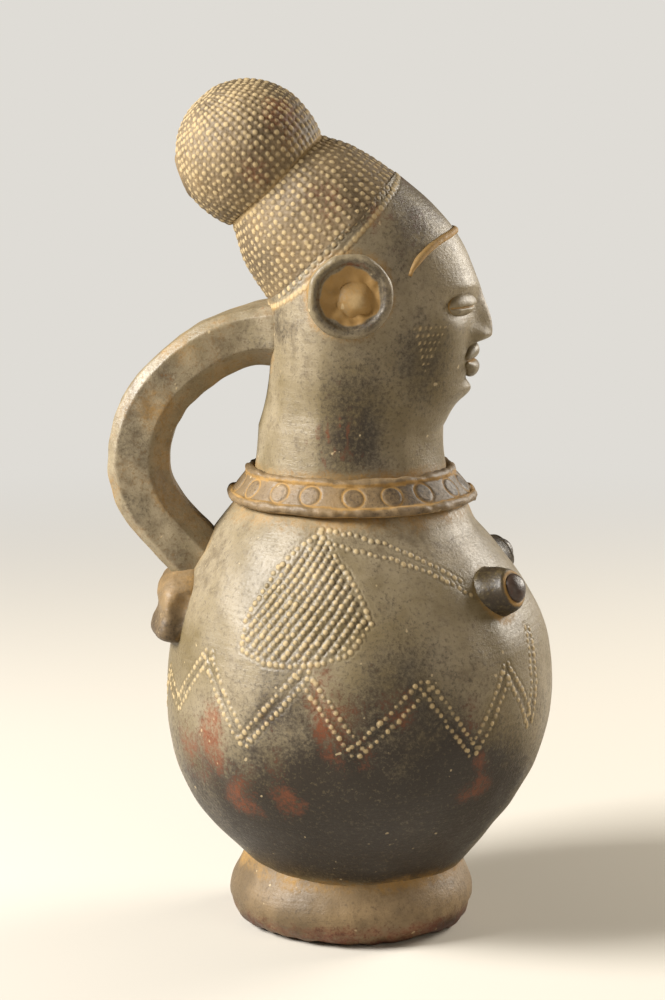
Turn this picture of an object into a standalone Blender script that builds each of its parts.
"""Hand-built jar in fired clay, shaped as a figure with a bound coiffure, in metres with +Z up.

The figure faces +X. Each clay member that a potter forms by itself and lutes to the others is one
object: foot ring, belly, collar, neck, head, coiffure, bun, handle, lug, ears, breasts and features.
"""

import bisect
import math

import bmesh
import bpy
from mathutils import Matrix, Vector
from mathutils.bvhtree import BVHTree

# Driving dimensions, in metres; angles in degrees
CLEARANCE = 0.0003

BELLY_RADIUS = 0.0725
BELLY_LOWER_HEIGHT = 0.0715
BELLY_UPPER_HEIGHT = 0.0900
BELLY_WALL = 0.0065
BELLY_FLOOR = 0.0165

FOOT_TOP_RADIUS = 0.0393
FOOT_FLARE = 0.0070
FOOT_SEAT_WIDTH = 0.0145
FOOT_BULGE_HEIGHT = 0.0110
FOOT_ROUNDING = 0.0100
FOOT_BORE_TAPER = 0.0030

NECK_RADIUS = 0.0345
NECK_FLARE = 0.0025
NECK_LENGTH = 0.0225
NECK_WALL = 0.0060

COLLAR_SKIRT = 0.0045
COLLAR_RISE = 0.0068
COLLAR_LOWER_THICKNESS = 0.0047
COLLAR_UPPER_THICKNESS = 0.0034
COLLAR_BEAD = 0.0017
COLLAR_BAND_SINK = 0.0009
ROUNDEL_COUNT = 18
ROUNDEL_RADIUS = 0.0036
ROUNDEL_GROOVE = 0.0007

HAIRLINE_RISE = 0.0700
HAIRLINE_SETBACK = 0.0090
HAIRLINE_RADIUS = 0.0330
HAIRLINE_TILT = 45.0
HEAD_HALF_WIDTH = 0.0355
JAW_HALF_WIDTH = 0.0335
HEAD_WALL = 0.0065
NAPE_HOLLOW = 0.0020
JAW_SHARE = 0.2
TEMPLE_SHARE = 0.7

CHIN_RISE = 0.0120
CHIN_ROUNDING = 0.0035
CHIN_FULLNESS = 0.0030
FACE_THIRD = 0.0193
FOREHEAD_SLOPE = 0.0070
CHIN_REACH = 0.0420
CHEEK_REACH = 0.0420
BROW_REACH = 0.0445
NOSE_PROUD = 0.0090
NOSE_HALF_WIDTH = 0.0056
NOSE_NARROWING = 0.38
EYE_AZIMUTH = 20.0
EYE_LENGTH = 0.0185
EYE_HEIGHT = 0.0085
EYE_PROUD = 0.0034
EYE_DROP = 0.0047
EYE_SLIT = 0.0008
EYE_SLIT_DROP = 0.0010
MOUTH_WIDTH = 0.0220
LIP_RADIUS = 0.0034
LIP_END_SHARE = 0.40
FILLET_RADIUS = 0.0014
FILLET_SPAN = 52.0
FILLET_DROP = 0.0100

EAR_RADIUS = 0.0153
EAR_SETBACK = 0.0088
EAR_DROP = 0.0012
EAR_TURN = 4.0
EAR_PROUD = 0.0062
EAR_LIP = 0.0043
EAR_DISH_DEPTH = 0.0034
STUD_RADIUS = 0.0044
STUD_HEIGHT = 0.0044

COIFFURE_LENGTH = 0.0280
COIFFURE_END_RADIUS = 0.0250
COIFFURE_SWELL = 0.0008
BUN_RADIUS = 0.0265
BUN_CENTRE_RISE = 0.0148
BUN_UNDER_HEIGHT = 0.0300
BUN_WALL = 0.0055
POUR_MOUTH_RADIUS = 0.0060
POUR_MOUTH_PITCH = -20.0

HANDLE_DEPTH = 0.0230
HANDLE_WIDTH = 0.0220
HANDLE_OVERHANG = 0.0195
HANDLE_END_SHARE = 0.91
HANDLE_OUTER_CHAMFER = 0.0045
HANDLE_INNER_CHAMFER = 0.0075
HANDLE_ROOT_DROP = 0.0254
HANDLE_ROOT_SINK = 0.0035
HANDLE_ROOT_LEAN = 47.0
HANDLE_ROOT_REIN = 0.0142
HANDLE_NAPE_GAP = 0.0012
HANDLE_NAPE_SINK = 0.0052
HANDLE_BOW_SHARE = 0.43
HANDLE_LEVEL_REIN = 0.50
HANDLE_UPPER_REIN = 0.52
HANDLE_LOWER_REIN = 0.42

LUG_HEIGHT = 0.0258
LUG_REACH = 0.0092
LUG_SPAN = 34.0
LUG_EDGE_FALL = 0.45
LUG_HANDLE_GAP = 0.0003
LUG_PROFILE = [(0.0, 0.72), (0.1, 0.94), (0.3, 1.0), (0.52, 0.82), (0.78, 0.86), (0.93, 0.5), (1.0, 0.0)]

BREAST_DROP = 0.0322
BREAST_AZIMUTH = 35.5
BREAST_DIP = 6.0
BREAST_RADIUS = 0.0105
BREAST_TIP_RADIUS = 0.0078
BREAST_TIP_ROUNDING = 0.0015
BREAST_LENGTH = 0.0085
NIPPLE_RADIUS = 0.0058
NIPPLE_HEIGHT = 0.0050

# Facets
TURN_STEPS = 32
EAR_STEPS = 24
SMALL_STEPS = 16
RING_STEPS = 10
ARC_STEPS = 9
SHORT_ARC_STEPS = 4
HEAD_SLICES = 31
HEAD_POINTS = 40
HOLLOW_SLICES = 6
HOLLOW_POINTS = 16
FRONT_CROWDING = 0.6
JAW_CROWDING = 1.3
COIL_STEPS = 20
LIP_STEPS = 12
LUG_SLICES = 6
LUG_POINTS = 10

# Heights and places that follow from the driving dimensions
TILT = math.radians(HAIRLINE_TILT)
AXIS_X = HANDLE_OVERHANG / 2
BELLY_CENTRE = BELLY_FLOOR + BELLY_LOWER_HEIGHT
NECK_BASE_RADIUS = NECK_RADIUS + NECK_FLARE
NECK_BORE = NECK_RADIUS - NECK_WALL
RIM_HEIGHT = BELLY_CENTRE + BELLY_UPPER_HEIGHT * math.sqrt(1 - (NECK_BASE_RADIUS / BELLY_RADIUS) ** 2)
NECK_BASE = RIM_HEIGHT + CLEARANCE
NECK_TOP = NECK_BASE + NECK_LENGTH
HEAD_BASE = NECK_TOP + CLEARANCE
HAIR_AXIS = Vector((-math.sin(TILT), 0, math.cos(TILT)))
HAIR_FORWARD = Vector((math.cos(TILT), 0, math.sin(TILT)))
HAIRLINE_CENTRE = Vector((-HAIRLINE_SETBACK, 0, HEAD_BASE + HAIRLINE_RISE))
NAPE_EDGE = HAIRLINE_CENTRE - HAIR_FORWARD * HAIRLINE_RADIUS
FAN_BACK = HAIRLINE_SETBACK + HAIRLINE_RISE / math.tan(TILT)
CHIN_HEIGHT = HEAD_BASE + CHIN_RISE
NOSE_BASE_HEIGHT = CHIN_HEIGHT + FACE_THIRD
BROW_HEIGHT = NOSE_BASE_HEIGHT + FACE_THIRD
FOREHEAD_HEIGHT = BROW_HEIGHT + FACE_THIRD
EYE_LINE = BROW_HEIGHT - EYE_DROP
MOUTH_LINE = NOSE_BASE_HEIGHT - FACE_THIRD / 3
HANDLE_ROOT_HEIGHT = RIM_HEIGHT - HANDLE_ROOT_DROP

# Ridge of the nose: shares of the way up it and of its full reach
NOSE_RIDGE = [(-0.10, 0.0), (0.12, 0.90), (1.0, 0.14), (1.5, 0.0)]

# Soft hills of the face, alike on both sides: how proud, how far aside, at what height, how wide, how tall
FACE_HILLS = [
    (0.0030, NOSE_HALF_WIDTH, NOSE_BASE_HEIGHT + 0.0025, 0.0030, 0.0032),  # wings of the nose
    (-0.0026, 0.0145, EYE_LINE, 0.0085, 0.0052),  # eye sockets
    (0.0012, 0.0130, BROW_HEIGHT + 0.0015, 0.0110, 0.0040),  # brows
    (0.0016, 0.0200, NOSE_BASE_HEIGHT + 0.0030, 0.0085, 0.0080),  # cheeks
    (0.0018, 0.0, MOUTH_LINE, 0.0120, 0.0055),  # mouth
    (-0.0016, 0.0, MOUTH_LINE - 0.0070, 0.0100, 0.0026),  # hollow under the lips
    (0.0024, 0.0, CHIN_HEIGHT + 0.0010, 0.0090, 0.0042),  # chin
]


def clear_scene():
    """Remove every object that the scene starts with."""
    for existing in list(bpy.data.objects):
        bpy.data.objects.remove(existing, do_unlink=True)


def new_collection(name):
    """A collection of its own under the scene."""
    collection = bpy.data.collections.new(name)
    bpy.context.scene.collection.children.link(collection)
    return collection


clear_scene()
PIECES = new_collection("figure_jar")
CUTTERS = new_collection("figure_jar_cutters")


def empty(name, parent=None, location=(0, 0, 0), tilt=0.0):
    """An axis that pieces are placed on, turned about Y by tilt."""
    axis = bpy.data.objects.new(name, None)
    axis.parent = parent
    axis.location = location
    axis.rotation_euler = (0, tilt, 0)
    PIECES.objects.link(axis)
    return axis


JAR = empty("jar_axis", location=(AXIS_X, 0, 0))
HAIR = empty("hair_axis", JAR, HAIRLINE_CENTRE, -TILT)


def clay(name, colour, roughness=0.55):
    """Burnished fired clay of one member."""
    material = bpy.data.materials.new(name + "_clay")
    material.use_nodes = True
    shader = material.node_tree.nodes["Principled BSDF"]
    shader.inputs["Base Color"].default_value = (*colour, 1)
    shader.inputs["Roughness"].default_value = roughness
    shader.inputs["Metallic"].default_value = 0
    material.diffuse_color = (*colour, 1)
    return material


SMOKED = (0.125, 0.105, 0.080)
OLIVE = (0.215, 0.180, 0.125)
OCHRE = (0.330, 0.235, 0.120)
DARK = (0.080, 0.062, 0.050)


def place(name, data, parent=JAR, colour=None, matrix=None):
    """Link a mesh or curve as a piece with its clay, or as a cutter when it has no colour."""
    thing = bpy.data.objects.new(name, data)
    thing.parent = parent
    if matrix is not None:
        thing.matrix_local = matrix
    if colour is None:
        CUTTERS.objects.link(thing)
        thing.hide_render = True
        thing.display_type = "WIRE"
    else:
        PIECES.objects.link(thing)
        data.materials.append(clay(name, colour))
    return thing


def turned(name, profile, steps=TURN_STEPS, closed=False, **where):
    """Turn a profile of (radius, height) about Z: it runs down the outer side, top to bottom."""
    mesh = bpy.data.meshes.new(name)
    edges = [(i, i + 1) for i in range(len(profile) - 1)]
    if closed:
        edges.append((len(profile) - 1, 0))
    mesh.from_pydata([(radius, 0, height) for radius, height in profile], edges, [])
    piece = place(name, mesh, **where)
    screw = piece.modifiers.new("turn", "SCREW")
    screw.steps = steps
    screw.render_steps = steps
    screw.use_merge_vertices = True
    screw.merge_threshold = 0.00001
    screw.use_smooth_shade = True
    return piece


def cut(piece, *cutters):
    """Take each cutter out of a piece."""
    for cutter in cutters:
        boolean = piece.modifiers.new("less_" + cutter.name, "BOOLEAN")
        boolean.operation = "DIFFERENCE"
        boolean.object = cutter


def as_mesh(curve_object, name, **where):
    """Make a mesh piece from a curve, with its caps welded, and remove the curve."""
    bpy.context.view_layer.update()
    graph = bpy.context.evaluated_depsgraph_get()
    mesh = bpy.data.meshes.new_from_object(curve_object.evaluated_get(graph))
    mesh.materials.clear()
    matrix = curve_object.matrix_local.copy()
    bpy.data.objects.remove(curve_object, do_unlink=True)
    shape = bmesh.new()
    shape.from_mesh(mesh)
    bmesh.ops.remove_doubles(shape, verts=shape.verts, dist=0.00001)
    bmesh.ops.recalc_face_normals(shape, faces=shape.faces)
    shape.to_mesh(mesh)
    shape.free()
    return place(name, mesh, matrix=matrix, **where)


def arc(centre, radii, start, end, steps=ARC_STEPS):
    """Points (radius, height) on an ellipse from one angle to another, in degrees from +X."""
    angles = [math.radians(start + (end - start) * i / steps) for i in range(steps + 1)]
    return [(centre[0] + radii[0] * math.cos(a), centre[1] + radii[1] * math.sin(a)) for a in angles]


def smooth_through(knots, at):
    """Value at one place on the smooth curve through knots of (place, value)."""
    places = [knot[0] for knot in knots]
    slopes = []
    for i in range(len(knots)):
        before = knots[max(i - 1, 0)]
        after = knots[min(i + 1, len(knots) - 1)]
        slopes.append((after[1] - before[1]) / (after[0] - before[0]))
    i = min(max(bisect.bisect_right(places, at) - 1, 0), len(knots) - 2)
    span = places[i + 1] - places[i]
    t = min(max((at - places[i]) / span, 0.0), 1.0)
    start = (1 + 2 * t) * (1 - t) ** 2 * knots[i][1] + t * (1 - t) ** 2 * span * slopes[i]
    end = t * t * (3 - 2 * t) * knots[i + 1][1] - t * t * (1 - t) * span * slopes[i + 1]
    return start + end


# Belly and what stands on it
def belly_radius(height, grow=0.0):
    """Radius of the belly's outer side at a height."""
    rise = height - BELLY_CENTRE
    half = BELLY_UPPER_HEIGHT if rise > 0 else BELLY_LOWER_HEIGHT
    return (BELLY_RADIUS + grow) * math.sqrt(max(0.0, 1 - (rise / (half + grow)) ** 2))


def belly_normal(height):
    """Outward direction (radius, height) of the belly's upper side at a height."""
    rise = height - BELLY_CENTRE
    return Vector((belly_radius(height) / BELLY_RADIUS ** 2, rise / BELLY_UPPER_HEIGHT ** 2)).normalized()


def belly_side(grow, top_radius):
    """Profile of an egg that is the belly's outer side grown by an amount, from its cut top down."""
    radius = BELLY_RADIUS + grow
    upper = BELLY_UPPER_HEIGHT + grow
    lower = BELLY_LOWER_HEIGHT + grow
    start = math.degrees(math.acos(top_radius / radius))
    side = arc((0, BELLY_CENTRE), (radius, upper), start, 0)
    side += arc((0, BELLY_CENTRE), (radius, lower), 0, -90)[1:]
    side[-1] = (0, side[-1][1])
    return side


def make_belly():
    """Egg-shaped hollow belly with a flat rim round its throat."""
    inside = list(reversed(belly_side(-BELLY_WALL, NECK_BORE)))
    outside = belly_side(0, NECK_BASE_RADIUS)
    turned("belly", inside + [(NECK_BORE, RIM_HEIGHT)] + outside, colour=OLIVE)


def belly_seat():
    """Cutter that leaves an applied member its clearance from the belly."""
    side = belly_side(CLEARANCE, NECK_BASE_RADIUS)
    return turned("belly_seat", [(0, side[0][1])] + side)


def make_foot_ring():
    """Flared ring that the belly is bedded in, hollow under the belly."""
    bore = FOOT_TOP_RADIUS - FOOT_SEAT_WIDTH
    radius = FOOT_TOP_RADIUS + FOOT_FLARE
    egg = (BELLY_RADIUS + CLEARANCE, BELLY_LOWER_HEIGHT + CLEARANCE)
    inner_angle = -math.degrees(math.acos(bore / egg[0]))
    outer_angle = -math.degrees(math.acos(FOOT_TOP_RADIUS / egg[0]))
    seat = arc((0, BELLY_CENTRE), egg, inner_angle, outer_angle, 3)
    waist_height = seat[-1][1]
    flare = []
    for i in range(1, SHORT_ARC_STEPS + 1):
        t = i / SHORT_ARC_STEPS
        ease = t * t * (3 - 2 * t)
        fall = (waist_height - FOOT_BULGE_HEIGHT) * t
        flare.append((FOOT_TOP_RADIUS + FOOT_FLARE * ease, waist_height - fall))
    rounding = arc((radius - FOOT_ROUNDING, FOOT_BULGE_HEIGHT), (FOOT_ROUNDING, FOOT_BULGE_HEIGHT), 0, -90, 5)
    profile = seat + flare + rounding[1:] + [(bore + FOOT_BORE_TAPER, 0)]
    turned("foot_ring", profile, closed=True, colour=SMOKED)


def neck_radius(height):
    """Radius of the neck's outer side, wider at its base."""
    t = (height - NECK_BASE) / NECK_LENGTH
    return NECK_RADIUS + NECK_FLARE * (1 - min(max(t, 0.0), 1.0)) ** 2


def make_neck():
    """Thick tube between the belly's rim and the head."""
    heights = [NECK_TOP - NECK_LENGTH * i / SHORT_ARC_STEPS for i in range(SHORT_ARC_STEPS + 1)]
    outside = [(neck_radius(height), height) for height in heights]
    turned("neck", outside + [(NECK_BORE, NECK_BASE), (NECK_BORE, NECK_TOP)], closed=True, colour=OLIVE)


def make_collar():
    """Band round the foot of the neck, with a bead along each edge and stamped roundels between."""
    low = RIM_HEIGHT - COLLAR_SKIRT
    high = RIM_HEIGHT + COLLAR_RISE
    shoulder = Vector((belly_radius(low), low))
    normal = belly_normal(low)
    downhill = Vector((normal.y, -normal.x))
    low_centre = shoulder + normal * (COLLAR_LOWER_THICKNESS - COLLAR_BEAD)
    high_centre = Vector((neck_radius(high) + COLLAR_UPPER_THICKNESS - COLLAR_BEAD, high))
    along = (low_centre - high_centre).normalized()
    outward = Vector((-along.y, along.x))
    face = outward * (COLLAR_BEAD - COLLAR_BAND_SINK)
    band = [high_centre + along * COLLAR_BEAD + face, low_centre - along * COLLAR_BEAD + face]
    lean = math.degrees(math.atan2(outward.y, outward.x))
    hem = math.degrees(math.atan2(downhill.y, downhill.x))
    top_bead = arc(high_centre, (COLLAR_BEAD, COLLAR_BEAD), 90, lean - 45, SHORT_ARC_STEPS)
    low_bead = arc(low_centre, (COLLAR_BEAD, COLLAR_BEAD), lean + 45, hem, SHORT_ARC_STEPS)
    halfway = (low + RIM_HEIGHT) / 2
    inner = [
        shoulder + downhill * COLLAR_BEAD + normal * CLEARANCE,
        (belly_radius(halfway, CLEARANCE), halfway),
        (NECK_BASE_RADIUS + CLEARANCE, RIM_HEIGHT + CLEARANCE),
        (neck_radius(high + COLLAR_BEAD) + CLEARANCE, high + COLLAR_BEAD),
    ]
    collar = turned("collar_band", top_bead + band + low_bead + inner, closed=True, colour=OCHRE)
    cut(collar, roundel_stamps((band[0] + band[1]) / 2, math.radians(90 - lean)))


def roundel_stamps(middle, slope):
    """One torus for each stamped ring, lying on the collar's band."""
    shape = bmesh.new()
    for i in range(ROUNDEL_COUNT):
        bpy.ops.mesh.primitive_torus_add(
            major_radius=ROUNDEL_RADIUS,
            minor_radius=ROUNDEL_GROOVE,
            major_segments=RING_STEPS,
            minor_segments=SHORT_ARC_STEPS,
        )
        stamp = bpy.context.object
        turn = Matrix.Rotation(2 * math.pi * (i + 0.5) / ROUNDEL_COUNT, 4, "Z")
        seat = Matrix.Translation((middle.x, 0, middle.y)) @ Matrix.Rotation(slope, 4, "Y")
        stamp.data.transform(turn @ seat)
        shape.from_mesh(stamp.data)
        bpy.data.objects.remove(stamp, do_unlink=True)
    mesh = bpy.data.meshes.new("roundel_stamps")
    shape.to_mesh(mesh)
    shape.free()
    return place("roundel_stamps", mesh)


# Head: slices on planes that fan out about a level line behind the nape
def head_reach(turn):
    """Places ahead, midway, behind and to the side of the slice on the plane turned by an angle."""
    share = turn / TILT
    front_knots = [
        (NECK_RADIUS, HEAD_BASE),
        (CHIN_REACH - CHIN_ROUNDING, CHIN_HEIGHT - CHIN_ROUNDING),
        (CHIN_REACH, CHIN_HEIGHT + CHIN_FULLNESS),
        (CHEEK_REACH, NOSE_BASE_HEIGHT),
        (BROW_REACH, BROW_HEIGHT),
        (BROW_REACH - FOREHEAD_SLOPE, FOREHEAD_HEIGHT),
        tuple(edge for edge in (HAIRLINE_CENTRE + HAIR_FORWARD * HAIRLINE_RADIUS).xz),
    ]
    polar = []
    for x, z in front_knots:
        polar.append((math.atan2(z - HEAD_BASE, x + FAN_BACK), math.hypot(z - HEAD_BASE, x + FAN_BACK)))
    ahead = smooth_through(polar, turn)
    midway = (FAN_BACK - HAIRLINE_SETBACK * share) / math.cos(turn)
    nape_end = HAIRLINE_SETBACK + HAIRLINE_RADIUS * math.cos(TILT)
    nape = NECK_RADIUS + (nape_end - NECK_RADIUS) * share - NAPE_HOLLOW * math.sin(math.pi * share)
    behind = (FAN_BACK - nape) / math.cos(turn)
    widths = [
        (0, NECK_RADIUS),
        (JAW_SHARE, JAW_HALF_WIDTH),
        (TEMPLE_SHARE, HEAD_HALF_WIDTH),
        (1, HAIRLINE_RADIUS),
    ]
    return ahead, midway, behind, smooth_through(widths, share)


def hill(offset, width):
    """Soft bump of height one."""
    return math.exp(-((offset / width) ** 2))


def face_relief(side, height):
    """How far the plain, symmetrical features stand out of the front of the head."""
    side = abs(side)
    up_nose = (height - NOSE_BASE_HEIGHT) / FACE_THIRD
    width = NOSE_HALF_WIDTH * (1 - NOSE_NARROWING * min(max(up_nose, 0.0), 1.0))
    relief = NOSE_PROUD * smooth_through(NOSE_RIDGE, up_nose) * hill(side, width)
    for proud, aside, middle, across, tall in FACE_HILLS:
        relief += proud * hill(side - aside, across) * hill(height - middle, tall)
    return relief


def head_point(turn, around, shrink=0.0, relief=True):
    """One point on the head's skin, around from the front on the slice turned by an angle."""
    ahead, midway, behind, side = head_reach(turn)
    half = (ahead - midway if math.cos(around) > 0 else midway - behind) - shrink
    reach = midway + half * math.cos(around)
    y = (side - shrink) * math.sin(around)
    x = reach * math.cos(turn) - FAN_BACK
    z = HEAD_BASE + reach * math.sin(turn)
    if relief and math.cos(around) > 0:
        fade = min(1.0, 2 * math.cos(around)) * min(1.0, (z - HEAD_BASE) / (CHIN_RISE / 2))
        x += face_relief(y, z) * fade
    return Vector((x, y, z))


def loft(name, rings, **where):
    """Solid through rings of points that have the same count, closed by a cap at each end."""
    shape = bmesh.new()
    rows = [[shape.verts.new(point) for point in ring] for ring in rings]
    count = len(rows[0])
    for lower, upper in zip(rows, rows[1:]):
        for i in range(count):
            after = (i + 1) % count
            shape.faces.new((lower[i], lower[after], upper[after], upper[i]))
    shape.faces.new(list(reversed(rows[0])))
    shape.faces.new(rows[-1])
    bmesh.ops.recalc_face_normals(shape, faces=shape.faces)
    mesh = bpy.data.meshes.new(name)
    shape.to_mesh(mesh)
    shape.free()
    mesh.shade_smooth()
    return place(name, mesh, **where)


def head_rings(slices, points, shrink=0.0, relief=True):
    """Rings up the head, closer together on the face and towards its front."""
    rings = []
    for i in range(slices + 1):
        turn = TILT * (i / slices) ** JAW_CROWDING
        ring = []
        for j in range(points):
            even = 2 * math.pi * j / points
            ring.append(head_point(turn, even - FRONT_CROWDING * math.sin(even), shrink, relief))
        rings.append(ring)
    return rings


def head_seat(head):
    """Cutter that leaves an applied member its clearance from the head's skin."""
    shape = bmesh.new()
    shape.from_mesh(head.data)
    shape.normal_update()
    moves = [(vertex, vertex.normal * CLEARANCE) for vertex in shape.verts]
    for vertex, move in moves:
        vertex.co += move
    mesh = bpy.data.meshes.new("head_seat")
    shape.to_mesh(mesh)
    shape.free()
    return place("head_seat", mesh)


def make_head():
    """Hollow head between the neck and the hairline, with its skin for seating the features."""
    head = loft("head", head_rings(HEAD_SLICES, HEAD_POINTS), colour=OLIVE)
    seat = head_seat(head)
    skin = bmesh.new()
    skin.from_mesh(head.data)
    tree = BVHTree.FromBMesh(skin)
    skin.free()
    hollow = head_rings(HOLLOW_SLICES, HOLLOW_POINTS, HEAD_WALL, relief=False)
    below = [point - Vector((0, 0, HEAD_WALL)) for point in hollow[0]]
    above = [point + HAIR_AXIS * HEAD_WALL for point in hollow[-1]]
    cut(head, loft("head_hollow", [below] + hollow + [above]))
    return seat, tree


def skin_at(tree, azimuth, height, back=0.0):
    """Point and outward normal of the head's skin, looking out from its axis at an azimuth in degrees."""
    angle = math.radians(azimuth)
    origin = Vector((-back, 0, height))
    point, normal, _, _ = tree.ray_cast(origin, Vector((math.cos(angle), math.sin(angle), 0)))
    return point, normal if normal.dot(point - origin) > 0 else -normal


def facing(point, direction):
    """Matrix of a piece that stands at a point with its Z along a direction and its Y upright."""
    z = direction.normalized()
    x = Vector((0, 0, 1)).cross(z).normalized()
    y = z.cross(x)
    return Matrix.Translation(point) @ Matrix((x, y, z)).transposed().to_4x4()


def dome(name, radius, height, **where):
    """Low round pellet with a flat base at Z = 0."""
    profile = arc((0, 0), (radius, height), 90, 0, SHORT_ARC_STEPS)
    profile[0] = (0, height)
    return turned(name, profile + [(0, 0)], SMALL_STEPS, **where)


def make_ear(side_name, side, seat, tree):
    """Dished disc for an ear, with a pellet in the middle."""
    centre = HAIRLINE_CENTRE - HAIR_FORWARD * EAR_SETBACK - HAIR_AXIS * (EAR_RADIUS + EAR_DROP)
    point, _ = skin_at(tree, side * 90, centre.z, -centre.x)
    turn = math.radians(EAR_TURN)
    outward = Vector((math.sin(turn), side * math.cos(turn), 0))
    matrix = facing(point, outward)
    dish = EAR_RADIUS - EAR_LIP
    floor = EAR_PROUD - EAR_DISH_DEPTH
    lip_centre = (EAR_RADIUS - EAR_LIP / 2, EAR_PROUD - EAR_LIP / 2)
    lip = arc(lip_centre, (EAR_LIP / 2, EAR_LIP / 2), 160, 0, SHORT_ARC_STEPS)
    bowl = arc((0, EAR_PROUD - EAR_LIP / 2), (dish, EAR_DISH_DEPTH - EAR_LIP / 2), -90, -12, SHORT_ARC_STEPS)
    bowl[0] = (0, floor)
    root = -EAR_RADIUS / 2
    profile = bowl + lip + [(EAR_RADIUS, root), (0, root)]
    disc = turned("ear_disc_" + side_name, profile, EAR_STEPS, colour=OLIVE, matrix=matrix)
    cut(disc, seat)
    stud_seat = matrix @ Matrix.Translation((0, 0, floor + CLEARANCE))
    dome("ear_stud_" + side_name, STUD_RADIUS, STUD_HEIGHT, colour=OCHRE, matrix=stud_seat)


def make_eye(side_name, side, seat, tree):
    """Closed eye: an almond pellet with a level slit between its lids."""
    point, normal = skin_at(tree, side * EYE_AZIMUTH, EYE_LINE)
    shape = bmesh.new()
    bmesh.ops.create_uvsphere(shape, u_segments=SMALL_STEPS, v_segments=RING_STEPS, radius=1)
    bmesh.ops.scale(shape, vec=(EYE_LENGTH / 2, EYE_HEIGHT / 2, EYE_PROUD), verts=shape.verts)
    mesh = bpy.data.meshes.new("eye_" + side_name)
    shape.to_mesh(mesh)
    shape.free()
    matrix = facing(point, Vector((normal.x, normal.y, 0)))
    eye = place("eye_" + side_name, mesh, colour=OCHRE, matrix=matrix)
    slit = bmesh.new()
    bmesh.ops.create_cube(slit, size=1)
    bmesh.ops.scale(slit, vec=(2 * EYE_LENGTH, EYE_SLIT, EYE_PROUD), verts=slit.verts)
    slit_mesh = bpy.data.meshes.new("eye_slit_" + side_name)
    slit.to_mesh(slit_mesh)
    slit.free()
    slit_place = matrix @ Matrix.Translation((0, -EYE_SLIT_DROP, EYE_PROUD))
    cut(eye, seat, place("eye_slit_" + side_name, slit_mesh, matrix=slit_place))


def coil(name, points, radii, seat, **where):
    """Roll of clay laid along points on the head, cut to its skin."""
    curve = bpy.data.curves.new(name, "CURVE")
    curve.dimensions = "3D"
    curve.bevel_depth = 1.0
    curve.bevel_resolution = 2
    curve.use_fill_caps = True
    spline = curve.splines.new("POLY")
    spline.points.add(len(points) - 1)
    for spot, point, radius in zip(spline.points, points, radii):
        spot.co = (*point, 1)
        spot.radius = radius
    guide = place(name + "_guide", curve)
    cut(as_mesh(guide, name, **where), seat)


def make_lips(seat, tree):
    """Two full lips that meet in a level line."""
    half = math.degrees(math.asin(MOUTH_WIDTH / 2 / (CHEEK_REACH + LIP_RADIUS)))
    for name, rise in (("upper_lip", 1), ("lower_lip", -1)):
        points = []
        radii = []
        for i in range(LIP_STEPS + 1):
            across = 2 * i / LIP_STEPS - 1
            radius = LIP_RADIUS * (LIP_END_SHARE + (1 - LIP_END_SHARE) * math.cos(across * math.pi / 2))
            height = MOUTH_LINE + rise * (radius + CLEARANCE / 2)
            point, _ = skin_at(tree, across * half, height)
            points.append(point)
            radii.append(radius)
        coil(name, points, radii, seat, colour=OLIVE)


def make_forehead_fillet(seat, tree):
    """Thin roll over the forehead from temple to temple."""
    points = []
    for i in range(COIL_STEPS + 1):
        across = 2 * i / COIL_STEPS - 1
        height = FOREHEAD_HEIGHT - FILLET_DROP * across ** 2
        point, _ = skin_at(tree, across * FILLET_SPAN, height)
        points.append(point)
    coil("forehead_fillet", points, [FILLET_RADIUS] * len(points), seat, colour=OCHRE)


# Coiffure and bun, on the leaning axis
def make_coiffure():
    """Bound cone of hair from the hairline back to the bun."""
    outside = []
    for i in range(SHORT_ARC_STEPS + 1):
        t = i / SHORT_ARC_STEPS
        radius = COIFFURE_END_RADIUS + (HAIRLINE_RADIUS - COIFFURE_END_RADIUS) * t
        radius += COIFFURE_SWELL * math.sin(math.pi * t)
        outside.append((radius, COIFFURE_LENGTH * (1 - t) + CLEARANCE * t))
    bore = [(HAIRLINE_RADIUS - HEAD_WALL, CLEARANCE), (COIFFURE_END_RADIUS - HEAD_WALL, COIFFURE_LENGTH)]
    turned("coiffure", outside + bore, closed=True, parent=HAIR, colour=SMOKED)


def make_bun():
    """Hollow round bun at the end of the coiffure, with the pouring mouth in its back."""
    centre = COIFFURE_LENGTH + BUN_CENTRE_RISE
    drop = BUN_CENTRE_RISE - CLEARANCE
    outside = bun_side(0, centre, drop)
    inside = list(reversed(bun_side(-BUN_WALL, centre, drop)))
    bun = turned("bun", outside + inside, parent=HAIR, colour=SMOKED)
    pitch = math.radians(POUR_MOUTH_PITCH)
    direction = Vector((-math.cos(pitch), 0, math.sin(pitch)))
    middle = HAIRLINE_CENTRE + HAIR_AXIS * centre
    reach = BUN_RADIUS + BUN_WALL
    bore = turned(
        "pour_bore",
        [(0, reach), (POUR_MOUTH_RADIUS, reach), (POUR_MOUTH_RADIUS, 0), (0, 0)],
        SMALL_STEPS,
        matrix=facing(middle, direction),
    )
    cut(bun, bore)


def bun_side(grow, centre, drop):
    """Profile of the bun grown by an amount, from its crown down to its base."""
    radius = BUN_RADIUS + grow
    under = BUN_UNDER_HEIGHT + grow
    end = -math.degrees(math.asin(drop / under))
    side = arc((0, centre), (radius, radius), 90, 0, 7)
    side += arc((0, centre), (radius, under), 0, end, 3)[1:]
    side[0] = (0, centre + radius)
    return side


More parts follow.
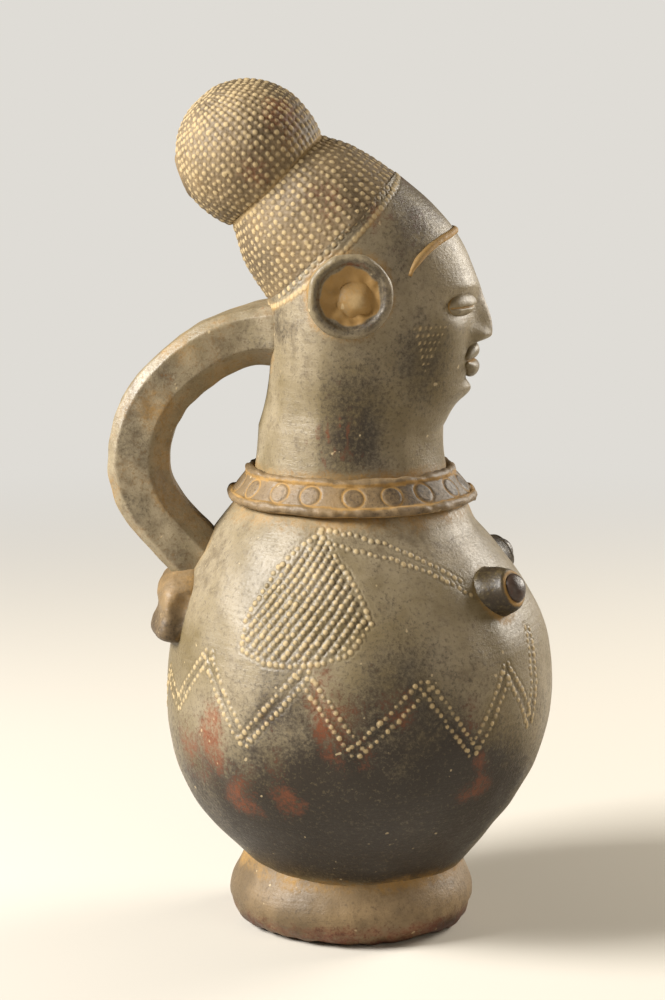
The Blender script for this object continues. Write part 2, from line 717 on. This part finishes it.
# Handle and lug behind, breasts in front
def make_handle(seat_on_belly, seat_on_head):
    """Thick chamfered loop from the nape down to the shoulder, slimmer at its ends."""
    nape = NAPE_EDGE.z - HANDLE_DEPTH / 2 - HANDLE_NAPE_GAP
    start = Vector((HANDLE_NAPE_SINK - NECK_RADIUS, 0, nape))
    bow = HANDLE_ROOT_HEIGHT + (nape - HANDLE_ROOT_HEIGHT) * HANDLE_BOW_SHARE
    outer = Vector((HANDLE_DEPTH / 2 - BELLY_RADIUS - HANDLE_OVERHANG, 0, bow))
    shoulder = belly_radius(HANDLE_ROOT_HEIGHT)
    end = Vector((HANDLE_ROOT_SINK - shoulder, 0, HANDLE_ROOT_HEIGHT - HANDLE_ROOT_SINK))
    path = bpy.data.curves.new("handle", "CURVE")
    path.dimensions = "3D"
    path.resolution_u = ARC_STEPS
    path.use_fill_caps = True
    path.twist_mode = "MINIMUM"
    spline = path.splines.new("BEZIER")
    spline.bezier_points.add(2)
    lean = math.radians(HANDLE_ROOT_LEAN)
    level = Vector((start.x - outer.x, 0, 0)) * HANDLE_LEVEL_REIN
    rising = Vector((0, 0, start.z - outer.z)) * HANDLE_UPPER_REIN
    falling = Vector((0, 0, outer.z - end.z)) * HANDLE_LOWER_REIN
    landing = Vector((-math.cos(lean), 0, math.sin(lean))) * HANDLE_ROOT_REIN
    reins = [
        (start, start + level, start - level, HANDLE_END_SHARE),
        (outer, outer + rising, outer - falling, 1.0),
        (end, end + landing, end - landing, HANDLE_END_SHARE),
    ]
    for spot, (middle, left, right, share) in zip(spline.bezier_points, reins):
        spot.handle_left_type = "FREE"
        spot.handle_right_type = "FREE"
        spot.co = middle
        spot.handle_left = left
        spot.handle_right = right
        spot.radius = share
    path.bevel_mode = "OBJECT"
    section = handle_section()
    path.bevel_object = section
    handle = as_mesh(place("handle_guide", path), "handle", colour=OLIVE)
    cut(handle, seat_on_belly, seat_on_head)
    bpy.data.objects.remove(section, do_unlink=True)


def handle_section():
    """Eight-sided section of the handle, with wide chamfers on its inner side."""
    depth = HANDLE_DEPTH / 2
    width = HANDLE_WIDTH / 2
    outer = HANDLE_OUTER_CHAMFER
    inner = HANDLE_INNER_CHAMFER
    corners = [
        (width - outer, depth),
        (width, depth - outer),
        (width, inner - depth),
        (width - inner, -depth),
        (inner - width, -depth),
        (-width, inner - depth),
        (-width, depth - outer),
        (outer - width, depth),
    ]
    section = bpy.data.curves.new("handle_section", "CURVE")
    section.dimensions = "2D"
    spline = section.splines.new("POLY")
    spline.points.add(len(corners) - 1)
    for spot, (x, y) in zip(spline.points, corners):
        spot.co = (x, y, 0, 1)
    spline.use_cyclic_u = True
    return place("handle_section", section)


def make_back_lug(seat_on_belly):
    """Wavy pad on the back of the belly, just under the foot of the handle."""
    top = HANDLE_ROOT_HEIGHT - HANDLE_END_SHARE * HANDLE_DEPTH / 2 - LUG_HANDLE_GAP
    rings = []
    for i in range(LUG_SLICES + 1):
        across = 2 * i / LUG_SLICES - 1
        azimuth = math.pi + math.radians(LUG_SPAN / 2) * across
        fullness = 1 - LUG_EDGE_FALL * across ** 4
        tallness = 1 - LUG_EDGE_FALL * across ** 2
        ring = []
        for j in range(LUG_POINTS + 1):
            share = j / LUG_POINTS
            height = top - LUG_HEIGHT * (0.5 + (share - 0.5) * tallness)
            radius = belly_radius(height) + LUG_REACH * fullness * smooth_through(LUG_PROFILE, share)
            ring.append(on_azimuth(radius, azimuth, height))
        ring.append(on_azimuth(belly_radius(height) - BELLY_WALL, azimuth, height))
        ring.append(on_azimuth(belly_radius(top) - BELLY_WALL, azimuth, ring[0].z))
        rings.append(ring)
    cut(loft("back_lug", rings, colour=OCHRE), seat_on_belly)


def on_azimuth(radius, azimuth, height):
    """Point at a radius from the jar's axis."""
    return Vector((radius * math.cos(azimuth), radius * math.sin(azimuth), height))


def make_breast(side_name, side, seat_on_belly):
    """Stout cone on the front of the belly, with a round pellet on its end."""
    height = RIM_HEIGHT - BREAST_DROP
    azimuth = side * math.radians(BREAST_AZIMUTH)
    normal = belly_normal(height)
    lift = math.atan2(normal.y, normal.x) - math.radians(BREAST_DIP)
    direction = on_azimuth(math.cos(lift), azimuth, math.sin(lift))
    matrix = facing(on_azimuth(belly_radius(height), azimuth, height), direction)
    edge = BREAST_TIP_ROUNDING
    tip = arc((BREAST_TIP_RADIUS - edge, BREAST_LENGTH - edge), (edge, edge), 90, 0, SHORT_ARC_STEPS)
    root = -BREAST_RADIUS / 2
    profile = [(0, BREAST_LENGTH)] + tip + [(BREAST_RADIUS, 0), (BREAST_RADIUS, root), (0, root)]
    breast = turned("breast_" + side_name, profile, SMALL_STEPS, colour=SMOKED, matrix=matrix)
    cut(breast, seat_on_belly)
    seat = matrix @ Matrix.Translation((0, 0, BREAST_LENGTH + CLEARANCE))
    dome("nipple_" + side_name, NIPPLE_RADIUS, NIPPLE_HEIGHT, colour=DARK, matrix=seat)


SEAT_ON_BELLY = belly_seat()
make_foot_ring()
make_belly()
make_neck()
make_collar()
SEAT_ON_HEAD, HEAD_SKIN = make_head()
for SIDE_NAME, SIDE in (("left", 1), ("right", -1)):
    make_ear(SIDE_NAME, SIDE, SEAT_ON_HEAD, HEAD_SKIN)
    make_eye(SIDE_NAME, SIDE, SEAT_ON_HEAD, HEAD_SKIN)
    make_breast(SIDE_NAME, SIDE, SEAT_ON_BELLY)
make_lips(SEAT_ON_HEAD, HEAD_SKIN)
make_forehead_fillet(SEAT_ON_HEAD, HEAD_SKIN)
make_coiffure()
make_bun()
make_handle(SEAT_ON_BELLY, SEAT_ON_HEAD)
make_back_lug(SEAT_ON_BELLY)
